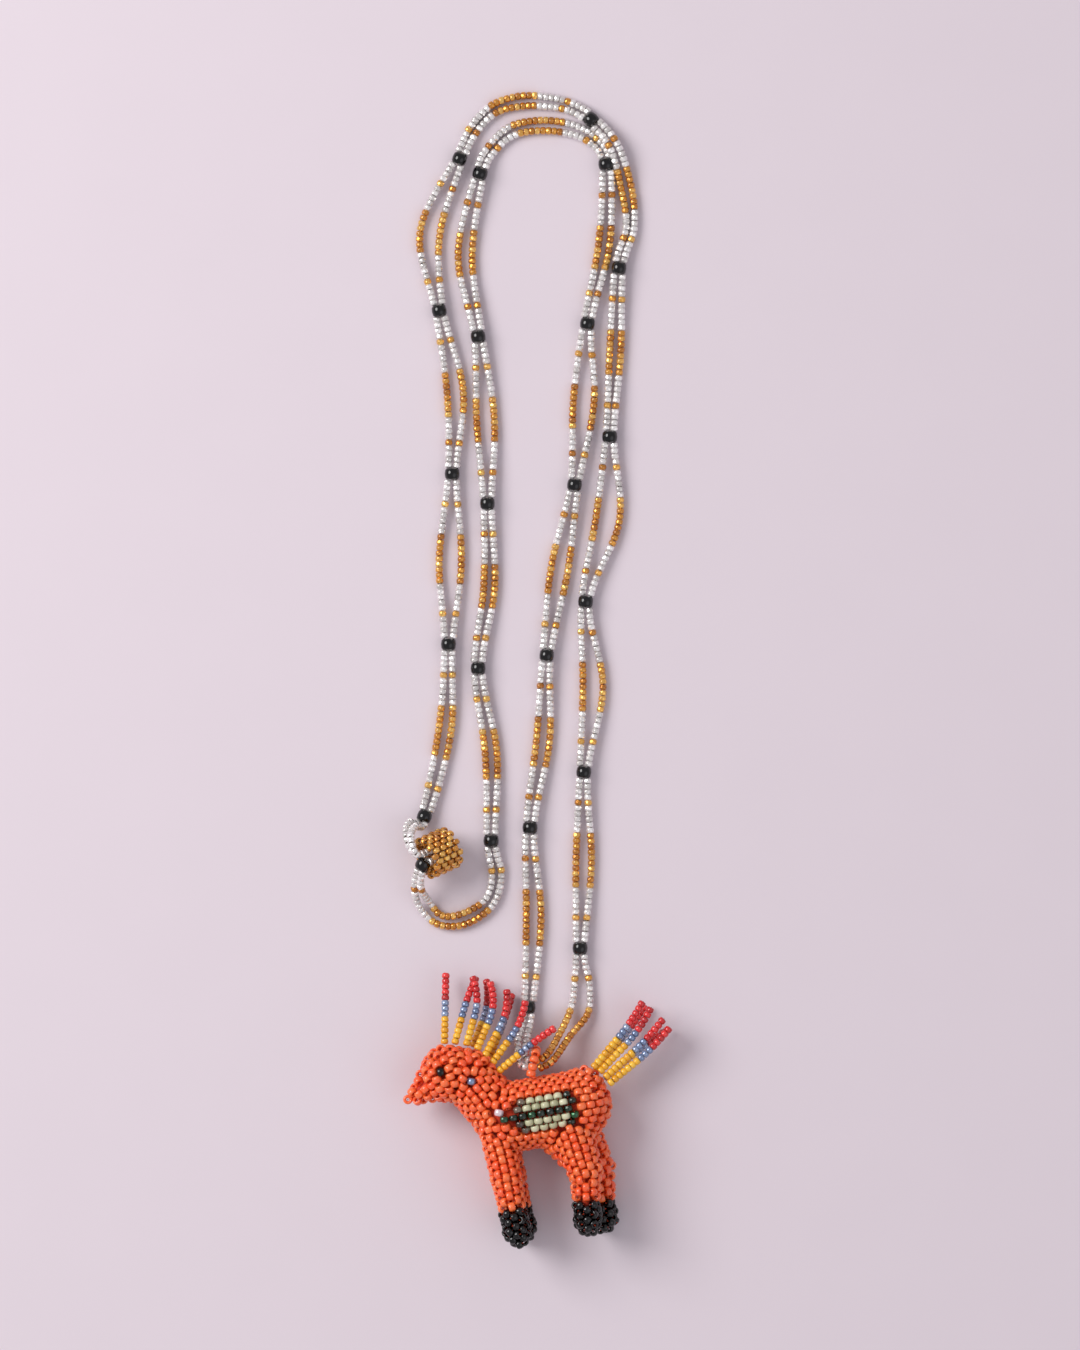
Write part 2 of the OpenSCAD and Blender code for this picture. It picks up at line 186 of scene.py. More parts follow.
def stuffing_material():
    """Packed fibre behind the beads. Its rust reds are painted shade and painted red bounce light:
    the colour of the shaded gaps between the orange beads. The hollows between its lumps are
    painted darker, as painted shade.
    """
    material, tree, shader = new_material("fibre stuffing")
    place = node(tree, "ShaderNodeTexCoord").outputs["Object"]
    clump_height_and_shade = node(tree, "ShaderNodeTexNoise", {"Scale": 700.0, "Detail": 6.0, "Roughness": 0.75})
    tree.links.new(place, clump_height_and_shade.inputs["Vector"])
    # painted shade: rust reds that stand for the red-lit shade between the beads, darkest where the
    # lumps are low
    stops = [(0.3, srgb(176, 46, 20)), (0.55, srgb(216, 64, 30)), (0.8, srgb(240, 96, 52))]
    tree.links.new(ramp(tree, clump_height_and_shade.outputs["Fac"], stops), shader.inputs["Base Color"])
    shader.inputs["Roughness"].default_value = 0.95
    shader.inputs["Sheen Weight"].default_value = 0.3
    bump = node(tree, "ShaderNodeBump", {"Strength": 0.8, "Distance": 0.0004})
    tree.links.new(clump_height_and_shade.outputs["Fac"], bump.inputs["Height"])
    tree.links.new(bump.outputs["Normal"], shader.inputs["Normal"])
    return material


ORANGE = bead_glass(
    "opaque orange glass",
    [(253, 92, 42), (255, 105, 50), (255, 114, 57), (255, 122, 64)], rough=0.3, coat=0.45, soft=0.5,
)
BLACK = bead_glass("black glass", [(1, 1, 2), (3, 3, 3), (6, 5, 5)], rough=0.07, coat=0.0)
YELLOW = bead_glass(
    "opaque yellow glass", [(226, 156, 24), (242, 180, 38), (250, 198, 64)], rough=0.28, coat=0.4
)
BLUE = bead_glass(
    "pearl blue glass", [(104, 122, 156), (132, 150, 186), (164, 180, 208)],
    rough=0.18, coat=1.0, metallic=0.45,
)
RED = bead_glass(
    "opaque coral red glass", [(178, 20, 24), (214, 34, 36), (232, 56, 54)], rough=0.26, coat=0.6
)
PEARL = bead_glass(
    "pearl pink glass", [(212, 190, 196), (236, 214, 218), (246, 232, 232)],
    rough=0.16, coat=1.0, metallic=0.25,
)
PALE = bead_glass(
    "opaque pale green glass", [(172, 172, 134), (196, 195, 158), (214, 212, 178)],
    rough=0.3, coat=0.5,
)
GREEN = bead_glass(
    "dark green lined glass", [(3, 22, 12), (8, 44, 24), (24, 92, 52)],
    rough=0.08, coat=1.0, metallic=0.5, facets=0.5,
)
BRONZE = bead_glass(
    "brown bronze glass", [(62, 52, 42), (104, 92, 78), (150, 136, 116)],
    rough=0.16, coat=1.0, metallic=0.4, facets=0.2,
)
CLEAR = bead_glass(
    "silver-lined clear glass", [(214, 209, 205), (240, 236, 233), (255, 252, 250)],
    rough=0.16, coat=1.0, metallic=0.55, facets=0.6,
)
GOLD = bead_glass(
    "silver-lined gold glass", [(190, 118, 30), (226, 156, 52), (250, 200, 104)],
    rough=0.14, coat=1.0, metallic=0.65, facets=0.65,
)
ORANGE_THREAD = thread_material("orange thread", (232, 78, 40))
PALE_THREAD = thread_material("pale thread", (206, 198, 186))
STUFFING = stuffing_material()

# ---- bead meshes ----

PROFILE_POINTS = 9
ROUND_POINTS = 14
HOLE_SHARE = 0.32          # a bead's hole, as a share of its outside diameter
SQUARENESS = 2.5           # 2 is a round cross-section, and more is a squarer one


def power(value, exponent):
    return np.sign(value) * np.abs(value) ** exponent


def bead_template():
    """(points, faces) of a bored bead with diameter 2 and length 2, its hole along X."""
    turn = np.arange(PROFILE_POINTS) * 2 * np.pi / PROFILE_POINTS
    middle, half = (1 + HOLE_SHARE) / 2, (1 - HOLE_SHARE) / 2
    radius = middle + half * power(np.cos(turn), 2 / SQUARENESS)
    along = power(np.sin(turn), 2 / SQUARENESS)
    spin = np.arange(ROUND_POINTS) * 2 * np.pi / ROUND_POINTS
    points = np.stack(
        [
            np.repeat(along[:, None], ROUND_POINTS, 1),
            radius[:, None] * np.cos(spin),
            radius[:, None] * np.sin(spin),
        ],
        axis=2,
    ).reshape(-1, 3)
    faces = [
        (i * ROUND_POINTS + j, i * ROUND_POINTS + (j + 1) % ROUND_POINTS,
         (i + 1) % PROFILE_POINTS * ROUND_POINTS + (j + 1) % ROUND_POINTS,
         (i + 1) % PROFILE_POINTS * ROUND_POINTS + j)
        for i in range(PROFILE_POINTS) for j in range(ROUND_POINTS)
    ]
    return points, np.array(faces)


def thread_template(sides=6):
    """(points, faces) of an open tube with radius 1 and length 2 along X."""
    spin = np.arange(sides) * 2 * np.pi / sides
    ring = np.stack([np.zeros(sides), np.cos(spin), np.sin(spin)], axis=1)
    points = np.concatenate([ring - [1, 0, 0], ring + [1, 0, 0]])
    faces = [(j, (j + 1) % sides, (j + 1) % sides + sides, j + sides) for j in range(sides)]
    return points, np.array(faces)


BEAD = bead_template()
THREAD = thread_template()


def unit(v):
    return v / np.maximum(np.linalg.norm(v, axis=-1, keepdims=True), 1e-9)


def axes_along(direction):
    """(n, 3, 3) frames whose first axis is each direction."""
    first = unit(np.asarray(direction, float))
    helper = np.where(np.abs(first[:, 2:3]) < 0.9, [[0.0, 0.0, 1.0]], [[0.0, 1.0, 0.0]])
    second = unit(np.cross(helper, first))
    return np.stack([first, second, np.cross(first, second)], axis=1)


def placed(template, centres, frames, scale):
    """The template's points and faces at each centre, turned and scaled."""
    points, faces = template
    local = points[None] * scale[:, None]
    moved = np.einsum("nik,nkj->nij", local, frames) + centres[:, None]
    step = np.arange(len(centres))[:, None, None] * len(points)
    return moved.reshape(-1, 3), (faces[None] + step).reshape(-1, 4)


def mesh_piece(name, points, faces, slots, face_slot, tone):
    """A smooth-shaded mesh of quads, from millimetres."""
    mesh = bpy.data.meshes.new(name)
    mesh.vertices.add(len(points))
    mesh.vertices.foreach_set("co", (points * MM).astype(np.float32).ravel())
    mesh.loops.add(faces.size)
    mesh.loops.foreach_set("vertex_index", faces.astype(np.int32).ravel())
    mesh.polygons.add(len(faces))
    mesh.polygons.foreach_set("loop_start", np.arange(0, faces.size, 4, dtype=np.int32))
    mesh.polygons.foreach_set("use_smooth", np.ones(len(faces), bool))
    for material in slots:
        mesh.materials.append(material)
    mesh.polygons.foreach_set("material_index", face_slot.astype(np.int32))
    shade = mesh.attributes.new("tone", "FLOAT", "POINT")
    shade.data.foreach_set("value", tone.astype(np.float32))
    mesh.update(calc_edges=True)
    mesh.validate()
    made = bpy.data.objects.new(name, mesh)
    bpy.context.scene.collection.objects.link(made)
    return made


def beads(name, centres, holes, size, glass, thread=ORANGE_THREAD, kinds=None, overhang=0.12,
          wobble=0.0, spread=0.5):
    """One piece of many beads: centres and hole directions in millimetres, size as (diameter,
    length), with a stub of thread through each hole. kinds says which glass each bead has."""
    centres, holes = np.asarray(centres, float), np.asarray(holes, float)
    count = len(centres)
    holes = unit(holes) + wobble * RANDOM.normal(size=(count, 3))
    frames = axes_along(holes)
    diameter, length = (np.broadcast_to(np.asarray(s, float), count) for s in size)
    grow = 1 + 0.02 * RANDOM.normal(size=count).clip(-1.5, 1.5)
    scale = np.stack([length / 2, diameter / 2 * grow, diameter / 2 * grow], axis=1)
    glass = glass if isinstance(glass, list) else [glass]
    kinds = np.zeros(count, int) if kinds is None else np.asarray(kinds)
    tones = (0.5 + spread * RANDOM.uniform(-1, 1, count)).clip(0, 1)
    bead_points, bead_faces = placed(BEAD, centres, frames, scale)
    string = np.stack([length / 2 + overhang, *[np.full(count, THREAD_R)] * 2], axis=1)
    thread_points, thread_faces = placed(THREAD, centres, frames, string)
    return mesh_piece(
        name,
        np.concatenate([bead_points, thread_points]),
        np.concatenate([bead_faces, thread_faces + len(bead_points)]),
        [*glass, thread],
        np.concatenate([
            np.repeat(kinds, len(BEAD[1])),
            np.full(count * len(THREAD[1]), len(glass)),
        ]),
        np.concatenate([np.repeat(tones, len(BEAD[0])), np.repeat(tones, len(THREAD[0]))]),
    )


# ---- the necklace ----

LOW = 0.0011               # height of a strand's middle on the table
UP = 0.00205               # height at a spacer bead
NEAR = 0.00112             # half spacing where the strands lie together
# Middle of the two strands: x, y, z, half their spacing, tilt of the pair in degrees
ROUTE = [
    (-0.0018, 0.0122, 0.0097, NEAR, 0), (-0.0049, 0.0134, 0.0093, NEAR, 0),
    (-0.0051, 0.0184, 0.0064, NEAR, 0), (-0.0035, 0.0275, UP, NEAR, 0),
    (-0.002, 0.052, LOW, 0.002, 0), (-0.003, 0.076, UP, NEAR, 0), (0.0005, 0.0995, LOW, 0.0018, 0),
    (0.0015, 0.1225, UP, NEAR, 0), (0.005, 0.146, LOW, 0.0023, 0), (0.009, 0.1685, UP, NEAR, 0),
    (0.0115, 0.191, LOW, 0.0028, 0), (0.0125, 0.212, UP, NEAR, 0), (0.017, 0.2335, LOW, 0.0015, 0),
    (0.0175, 0.255, UP, NEAR, 0), (0.014, 0.2615, LOW, NEAR, 0), (0.008, 0.2645, LOW, 0.0013, 0),
    (0, 0.2655, LOW, 0.0014, 0), (-0.008, 0.264, LOW, 0.0013, 0), (-0.0135, 0.259, LOW, NEAR, 0),
    (-0.0165, 0.2525, UP, NEAR, 0), (-0.0205, 0.2305, LOW, 0.0019, 0),
    (-0.017, 0.2085, UP, NEAR, 0), (-0.015, 0.186, LOW, 0.0024, 0), (-0.0145, 0.1635, UP, NEAR, 0),
    (-0.014, 0.141, LOW, 0.0015, 0), (-0.017, 0.119, UP, NEAR, 0), (-0.0135, 0.096, LOW, 0.0016, 0),
    (-0.0135, 0.0725, UP, NEAR, 0), (-0.012, 0.0635, LOW, 0.0013, 0),
    (-0.014, 0.056, LOW, 0.0013, 0), (-0.0205, 0.0515, LOW, 0.0015, 0),
    (-0.027, 0.051, LOW, 0.0013, 0), (-0.0312, 0.0548, 0.0017, 0.0015, 0),
    (-0.0333, 0.0603, 0.0072, 0.0012, -45), (-0.0318, 0.0662, 0.0108, NEAR, -55),
    (-0.0293, 0.0672, 0.0091, NEAR, -90), (-0.0257, 0.0689, 0.0067, NEAR, -90),
    (-0.0267, 0.0712, 0.0067, NEAR, -90), (-0.0304, 0.0697, 0.0091, NEAR, -90),
    (-0.0336, 0.069, 0.0115, NEAR, -80), (-0.0356, 0.0732, 0.0115, NEAR, -60),
    (-0.035, 0.0768, 0.0068, NEAR, -30), (-0.0315, 0.079, UP, NEAR, 0),
    (-0.026, 0.102, LOW, 0.0017, 0), (-0.025, 0.1255, UP, NEAR, 0), (-0.0245, 0.148, LOW, 0.003, 0),
    (-0.024, 0.1715, UP, NEAR, 0), (-0.0232, 0.1935, LOW, 0.0022, 0),
    (-0.0275, 0.2155, UP, NEAR, 0), (-0.03, 0.2365, LOW, 0.0027, 0), (-0.022, 0.2565, UP, NEAR, 0),
    (-0.0185, 0.264, LOW, NEAR, 0), (-0.013, 0.2698, LOW, 0.0012, 0),
    (-0.006, 0.272, LOW, 0.0014, 0), (0.001, 0.272, LOW, 0.0013, 0), (0.008, 0.2705, LOW, NEAR, 0),
    (0.0135, 0.267, UP, NEAR, 0), (0.0195, 0.26, 0.0032, NEAR, 0), (0.023, 0.2485, LOW, 0.0014, 0),
    (0.024, 0.238, LOW, NEAR, 0), (0.021, 0.227, UP, NEAR, 0), (0.02, 0.204, LOW, 0.0015, 0),
    (0.0185, 0.1815, UP, NEAR, 0), (0.018, 0.1595, LOW, 0.0032, 0), (0.012, 0.137, UP, NEAR, 0),
    (0.014, 0.114, LOW, 0.0027, 0), (0.0115, 0.091, UP, NEAR, 0), (0.0115, 0.0665, LOW, 0.0021, 0),
    (0.0105, 0.0435, UP, NEAR, 0), (0.011, 0.034, LOW, 0.002, 0),
    (0.0104, 0.0268, 0.0016, 0.0024, 0), (0.0066, 0.0206, 0.0044, 0.0014, 0),
    (0.0024, 0.0143, 0.0089, NEAR, 0), (-0.0013, 0.0122, 0.0097, NEAR, 0),
]
# The route's points that carry a black spacer bead
SPACERS = [3, 5, 7, 9, 11, 13, 19, 21, 23, 25, 27, 34, 42, 44, 46, 48, 50, 56, 60, 62, 64, 66, 68]
RING_SPACER = 34           # from this one the strands run inside the gold ring
SEED_PITCH = 1.5
SEED_GAP = 0.06
SPACER_GAP = 0.05
CURVE_STEPS = 14
# A stretch between two spacers, as (beads, glass), where 0 is clear and 1 is gold
PATTERN = [(4, 0), (1, 1), (5, 0), (9, 1), (5, 0), (1, 1), (4, 0)]
SPARE_GROUPS = (3, 2, 4)   # the groups of the pattern that gain or lose a bead, in turn
# The last stretch, whose other beads up to the hanging loop are gold
LAST_START = [(4, 0), (1, 1), (5, 0)]


def route_directions():
    middle = np.array([p[:3] for p in ROUTE]) / MM
    ahead = np.concatenate([middle[1:], middle[-1:]])
    behind = np.concatenate([middle[:1], middle[:-1]])
    return middle, unit(ahead - behind)


def strand_points(side):
    """One strand's own points, in millimetres."""
    middle, along = route_directions()
    sideways = unit(np.stack([-along[:, 1], along[:, 0], np.zeros(len(along))], axis=1))
    half = np.array([p[3] for p in ROUTE])[:, None] / MM
    tilt = np.radians([p[4] for p in ROUTE])[:, None]
    return middle + side * half * (sideways * np.cos(tilt) + [0, 0, 1] * np.sin(tilt))


def smooth_curve(points):
    """A Catmull-Rom curve through points that stays clear of the table."""
    padded = np.concatenate([[2 * points[0] - points[1]], points, [2 * points[-1] - points[-2]]])
    t = (np.arange(CURVE_STEPS) / CURVE_STEPS)[:, None]
    out = []
    for a, b, c, d in zip(padded, padded[1:], padded[2:], padded[3:]):
        out.append(0.5 * (
            2 * b + (c - a) * t + (2 * a - 5 * b + 4 * c - d) * t ** 2
            + (3 * b - a - 3 * c + d) * t ** 3
        ))
    curve = np.concatenate([*out, points[-1:]])
    curve[:, 2] = np.maximum(curve[:, 2], SEED_BEAD[0] / 2 + 0.01)
    return curve


def arc_length(curve):
    return np.concatenate([[0], np.cumsum(np.linalg.norm(np.diff(curve, axis=0), axis=1))])


def at_length(curve, along, places):
    """Points and directions of a curve at these arc lengths."""
    def sample(s):
        return np.stack([np.interp(s, along, curve[:, k]) for k in range(3)], axis=1)
    return sample(places), unit(sample(places + 0.4) - sample(places - 0.4))


def colours_of(stretch, count):
    """Which glass each bead has, 0 clear or 1 gold, in a stretch between two spacers. A spacer
    of None is the hanging loop."""
    first, last = stretch
    if first in (None, RING_SPACER):
        return np.zeros(count, int)
    if last is None:
        groups = [*LAST_START, (max(count - sum(n for n, _ in LAST_START), 1), 1)]
    else:
        groups = [list(group) for group in PATTERN]
        spare = count - sum(n for n, _ in PATTERN)
        for extra in range(abs(spare)):
            groups[SPARE_GROUPS[extra % len(SPARE_GROUPS)]][0] += int(np.sign(spare))
    kinds = np.concatenate([np.full(max(n, 0), kind) for n, kind in groups])
    return kinds[:count] if len(kinds) >= count else np.pad(kinds, (0, count - len(kinds)))


def make_strand(number, side):
    """The beads of one strand between the spacers, with its line and length in metres."""
    curve = smooth_curve(strand_points(side))
    along = arc_length(curve)
    half_spacer = SPACER_BEAD[1] / 2 + SPACER_GAP
    stops = [None, *SPACERS, None]
    centres, holes, kinds, lengths = [], [], [], []
    for first, last in zip(stops, stops[1:]):
        start = 0.0 if first is None else along[first * CURVE_STEPS] + half_spacer
        end = along[-1] if last is None else along[last * CURVE_STEPS] - half_spacer
        count = max(1, round((end - start) / SEED_PITCH))
        pitch = (end - start) / count
        points, directions = at_length(curve, along, start + (np.arange(count) + 0.5) * pitch)
        centres.append(points)
        holes.append(directions)
        kinds.append(colours_of((first, last), count))
        lengths.append(np.full(count, pitch - SEED_GAP))
    centres = np.concatenate(centres)
    piece = beads(
        f"necklace_beads_{number}", centres, np.concatenate(holes),
        (SEED_BEAD[0], np.concatenate(lengths)), [CLEAR, GOLD], PALE_THREAD,
        np.concatenate(kinds), overhang=0.1, wobble=0.05,
    )
    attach(piece, "necklace")
    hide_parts(f"necklace_strand_{number}")
    return piece, curve * MM, float(along[-1] * MM)


def make_spacers():
    middle, along = route_directions()
    piece = beads(
        "black_spacers", middle[SPACERS], along[SPACERS], SPACER_BEAD, BLACK, PALE_THREAD,
        overhang=0.3, wobble=0.03,
    )
    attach(piece, "necklace")
    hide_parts("spacer_beads")
    return piece


spacers = make_spacers()
for number, side in ((1, 1), (2, -1)):
    strand, line, length = make_strand(number, side)

# ---- the gold ring: a tube of peyote stitch ----

RING_MIDDLE = (-27.9, 69.3, 7.8)
RING_TURN, RING_RISE = 24, 30    # its axis from +X in plan, and its open end's rise, in degrees
RING_D = 12
RING_COLUMNS, RING_ROWS, RING_PITCH = 22, 4, 2.2
RING_BEAD = (SEED_BEAD[0], 1.4)


def make_gold_ring():
    turn, rise = math.radians(RING_TURN), math.radians(RING_RISE)
    axis = np.array([
        math.cos(turn) * math.cos(rise), math.sin(turn) * math.cos(rise), -math.sin(rise)
    ])
    side = unit(np.cross([0, 0, 1], axis))
    up = np.cross(axis, side)
    centres, holes = [], []
    for column in range(RING_COLUMNS):
        spin = 2 * math.pi * column / RING_COLUMNS
        out = side * math.cos(spin) + up * math.sin(spin)
        for row in range(RING_ROWS):
            place = (row - (RING_ROWS - 1) / 2 + (column % 2 - 0.5) / 2) * RING_PITCH
            centres.append(np.array(RING_MIDDLE) + axis * place
                           + out * (RING_D / 2 - RING_BEAD[0] / 2))
            holes.append(np.cross(axis, out))
    piece = beads("gold_ring_beads", centres, holes, RING_BEAD, GOLD, PALE_THREAD, wobble=0.06)
    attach(piece, "ring")
    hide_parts("gold_ring")


make_gold_ring()

# ---- the horse's form, in millimetres ----

BODY_R = 9.7
MID = BODY_R
CHEST, RUMP = np.array([-8.5, -1.8, MID]), np.array([9.6, 1.4, MID])
THROAT, CHEEK = np.array([-20.5, 9.2, MID]), np.array([-25, 9.9, MID])
NOSE = np.array([-34.8, 3.2, MID])
LIP = np.array([-35.3, 4.9, MID])
CREST, FOREHEAD = np.array([-18.8, 9.5, MID]), np.array([-26.4, 13.4, MID])
DOCK = np.array([11.5, 6.7, MID])
THROAT_R, HEAD_R, MUZZLE_R, ANKLE_R, HOOF_R = 7.2, 7.6, 2.3, 3.9, 4.3
# Round tapered limbs: their two ends and the radius at each
BODY_LIMBS = [
    (CHEST, RUMP, BODY_R, BODY_R),
    (np.array([3, -1.5, MID]), np.array([9, -10.5, MID]), 9, 6),
    (np.array([-10.5, -1, MID]), THROAT, 8.4, THROAT_R),
    (THROAT, CHEEK, THROAT_R, HEAD_R),
    (CHEEK, NOSE, HEAD_R, MUZZLE_R),
    (CHEEK, CREST, HEAD_R, 7.2),
    (FOREHEAD, LIP, 4.3, 1.6),
    (RUMP, DOCK, 7.5, 5.6),
]
# Each leg: its side (1 near, -1 far), hoof length, then top, knee and ankle as x, y, height
# above the mid-plane, radius
LEGS = {
    "front_leg_near": (1, 11, [(-11.4, -8, 3.9, 4.8), (-9.5, -17.2, 4.6, 4.4),
                               (-7.7, -26.2, 5, ANKLE_R)]),
    "front_leg_far": (-1, 11, [(-10.4, -8.5, 3.8, 4.9), (-8.4, -17.2, 4.6, 4.4),
                               (-6.4, -25.6, 5, ANKLE_R)]),
    "hind_leg_near": (1, 10, [(8, -5, 3.3, 6.4), (11.8, -15.7, 4.4, 4.9),
                              (12.2, -24.2, 4.9, ANKLE_R)]),
    "hind_leg_far": (-1, 10, [(9.5, -4.5, 3.2, 6.4), (15.4, -15.8, 4.4, 4.8),
                              (16.3, -24.2, 4.9, ANKLE_R)]),
}
# How far surfaces flow into each other: two limbs of the body, of a leg, and leg and body
BODY_FLOW, LEG_FLOW, HIP_FLOW = 1.0, 0.8, 1.4
BEAD_R = 1.25              # from the outside of the skin to the middle of its beads
ALONG_PITCH = 2 * BEAD_R
ACROSS_PITCH = COLUMN / math.cos(math.radians(30))
DEPTH_PITCH = 2.2
GRADIENT_STEP = 0.02


def leg_joints(name):
    """(place, radius) of a leg's top, knee and ankle."""
    side, _, joints = LEGS[name]
    return [(np.array([x, y, MID + side * h]), r) for x, y, h, r in joints]


def leg_limbs(name):
    joints = leg_joints(name)
    return [(a, b, ra, rb) for (a, ra), (b, rb) in zip(joints, joints[1:])]


def limb_distance(points, limb):
    """How far points are outside a round tapered limb."""
    a, b, ra, rb = limb
    v = b - a
    share = ((points - a) @ v / (v @ v)).clip(0, 1)
    return np.linalg.norm(points - a - share[:, None] * v, axis=1) - (ra + (rb - ra) * share)


def smooth_min(p, q, reach):
    """The lesser of two distances, rounded over where they differ by less than reach."""
    h = (0.5 + 0.5 * (q - p) / reach).clip(0, 1)
    return q + (p - q) * h - reach * h * (1 - h)


def merged(distances, reach):
    """The smooth minimum of several distances."""
    out = distances[0]
    for more in distances[1:]:
        out = smooth_min(out, more, reach)
    return out


def horse_distance(points):
    """How far points are outside the orange horse, whose limbs flow into each other."""
    body = merged([limb_distance(points, limb) for limb in BODY_LIMBS], BODY_FLOW)
    legs = []
    for name in LEGS:
        leg = merged([limb_distance(points, limb) for limb in leg_limbs(name)], LEG_FLOW)
        legs.append(smooth_min(body, leg, HIP_FLOW))
    return np.min(legs, axis=0)


def gradient(distance, points):
    """The way straight out of a form at each point."""
    out = np.empty_like(points)
    for k in range(3):
        shift = np.zeros(3)
        shift[k] = GRADIENT_STEP
        out[:, k] = distance(points + shift) - distance(points - shift)
    return unit(out)


def onto(distance, points, steps=5):
    """Points moved to where the middles of the beads lie, just inside a form."""
    for _ in range(steps):
        points = points - (distance(points) + BEAD_R)[:, None] * gradient(distance, points)
    return points


ARC_POINTS = 24


def limb_rounds(limb):
    """Bead centres in rounds of peyote stitch over a limb and its round ends."""
    a, b, ra, rb = limb
    along, length = unit(b - a), np.linalg.norm(b - a)
    side = unit(np.cross(along, [0.0, 0.0, 1.0]))
    up = np.cross(side, along)
    arc = np.linspace(0, np.pi / 2, ARC_POINTS)
    ra, rb = ra - BEAD_R, rb - BEAD_R
    outline = np.concatenate([
        np.stack([-ra * np.cos(arc), ra * np.sin(arc)], axis=1),
        np.stack([length + rb * np.sin(arc), rb * np.cos(arc)], axis=1),
    ])
    run = arc_length(outline)
    out = []
    for k in range(int(run[-1] / BEAD_R)):
        s = (k + 0.5) * BEAD_R
        x, r = np.interp(s, run, outline[:, 0]), np.interp(s, run, outline[:, 1])
        count = max(1, round(2 * math.pi * r / (2 * COLUMN)))
        for i in range(count):
            turn = 2 * math.pi * (i + (k % 2) / 2) / count
            out.append(a + along * x + r * (side * math.sin(turn) + up * math.cos(turn)))
    return np.array(out)


# How the beads are laid, in millimetres or as shares of the room that a bead needs
WAY_FADE = 0.7             # how fast a limb's direction gives way to its neighbour's
START_REACH = 0.7          # how far from the skin a round's bead may start
NEAR_ENOUGH = 3.2          # beads further apart than this never touch
PUSH = 0.45                # how hard two crowded beads nudge each other in one step
FIRST_ROUNDS, MORE_ROUNDS = 20, 12
FIRST_ROOM, LATER_ROOM = 0.8, 0.84
FILL_ROOM, FILL_EASE = 0.86, 0.03   # a new bead's least room, and how much less each time
NEIGHBOURS = 6
NEIGHBOUR_PITCH = 1.02


def limb_directions(points, limbs):
    """The way that the nearest limb runs at each point."""
    near = np.array([limb_distance(points, limb) for limb in limbs])
    weight = np.exp(-(near - near.min(0)) / WAY_FADE)
    ways = np.array([unit(b - a) for a, b, _, _ in limbs])
    return unit(weight.T @ ways)


def bead_frames(distance, points, limbs):
    """(normal, way along the limb, hole direction) at each point."""
    normal = gradient(distance, points)
    way = limb_directions(points, limbs)
    flat = way - (way * normal).sum(1, keepdims=True) * normal
    lost = np.linalg.norm(flat, axis=1) < 0.15
    flat[lost] = np.cross(normal[lost], [0.0, 0.0, 1.0]) + [1e-4, 0, 0]
    flat = unit(flat)
    return normal, flat, np.cross(normal, flat)


def spacing(points, others, frames):
    """(n, m) distances between beads, 1 where two just fit side by side, and the (n, m, 3)
    ways from one to the other."""
    normal, way, hole = (f[:, None] for f in frames)
    gap = others[None] - points[:, None]
    return np.sqrt(
        ((gap * way).sum(2) / ALONG_PITCH) ** 2 + ((gap * hole).sum(2) / ACROSS_PITCH) ** 2
        + ((gap * normal).sum(2) / DEPTH_PITCH) ** 2
    ), gap


def relax(distance, limbs, free, fixed, rounds):
    """Free beads nudge each other, and the fixed beads nudge them, until they lie evenly."""
    for _ in range(rounds):
        frames = bead_frames(distance, free, limbs)
        everyone = np.concatenate([free, fixed]) if len(fixed) else free
        apart, gap = spacing(free, everyone, frames)
        np.fill_diagonal(apart, np.inf)
        close = (1 - apart).clip(0, 1)
        away = gap / np.maximum(np.linalg.norm(gap, axis=2, keepdims=True), 1e-6)
        free = free - PUSH * DEPTH_PITCH * (close[:, :, None] * away).sum(1)
        free = onto(distance, free, steps=2)
    return onto(distance, free)


def thinned(distance, limbs, points, kept, least):
    """The points in order, without those nearer than least to one that was kept before."""
    frames = bead_frames(distance, points, limbs)
    out = []
    for i, point in enumerate(points):
        near = np.array([p for p in (*kept, *out) if abs(p - point).max() < NEAR_ENOUGH])
        if len(near):
            apart, _ = spacing(point[None], near, [f[i:i + 1] for f in frames])
            if apart.min() < least:
                continue
        out.append(point)
    return np.array(out)


def around(distance, limbs, points):
    """The places beside each bead where its neighbours would lie."""
    _, way, hole = bead_frames(distance, points, limbs)
    spots = []
    for k in range(NEIGHBOURS):
        turn = math.radians(360 / NEIGHBOURS * k)
        spots.append(points + way * math.cos(turn) * ALONG_PITCH * NEIGHBOUR_PITCH
                     + hole * math.sin(turn) * ACROSS_PITCH * NEIGHBOUR_PITCH)
    return onto(distance, np.concatenate(spots))


def cover(distance, limbs, fixed, allowed, fills):
    """Bead centres that cover a form evenly, starting from rounds along each limb. Its gaps are
    filled as many times as fills says."""
    starts = np.concatenate([limb_rounds(limb) for limb in limbs])
    starts = starts[np.abs(distance(starts) + BEAD_R) < START_REACH]
    starts = onto(distance, starts)
    free = thinned(distance, limbs, starts[allowed(starts)], fixed, FIRST_ROOM)
    free = relax(distance, limbs, free, fixed, FIRST_ROUNDS)
    for k in range(fills):
        free = thinned(distance, limbs, free, fixed, LATER_ROOM)
        spots = around(distance, limbs, free)
        spots = spots[allowed(spots)]
        more = thinned(distance, limbs, spots, [*fixed, *free], FILL_ROOM - FILL_EASE * k)
        if len(more):
            free = np.concatenate([free, more])
        free = relax(distance, limbs, free, fixed, MORE_ROUNDS)
    return free[allowed(free)]


# ---- single beads and the wing, set in the skin on both sides ----

SUNK = 0.02                # how far set beads lie under the skin's beads
BODY_TILT = math.atan2(RUMP[1] - CHEST[1], RUMP[0] - CHEST[0])
WING_R = BODY_R - 0.25 - BEAD_R + 0.06
WING_TURN = 13             # degrees round the body from one row to the next
WING_PITCH = 2.5
MIDDLE_START = -10.6       # where the middle row of green beads starts along the body
OUTER_ROWS = (-2, -1, 1, 2)
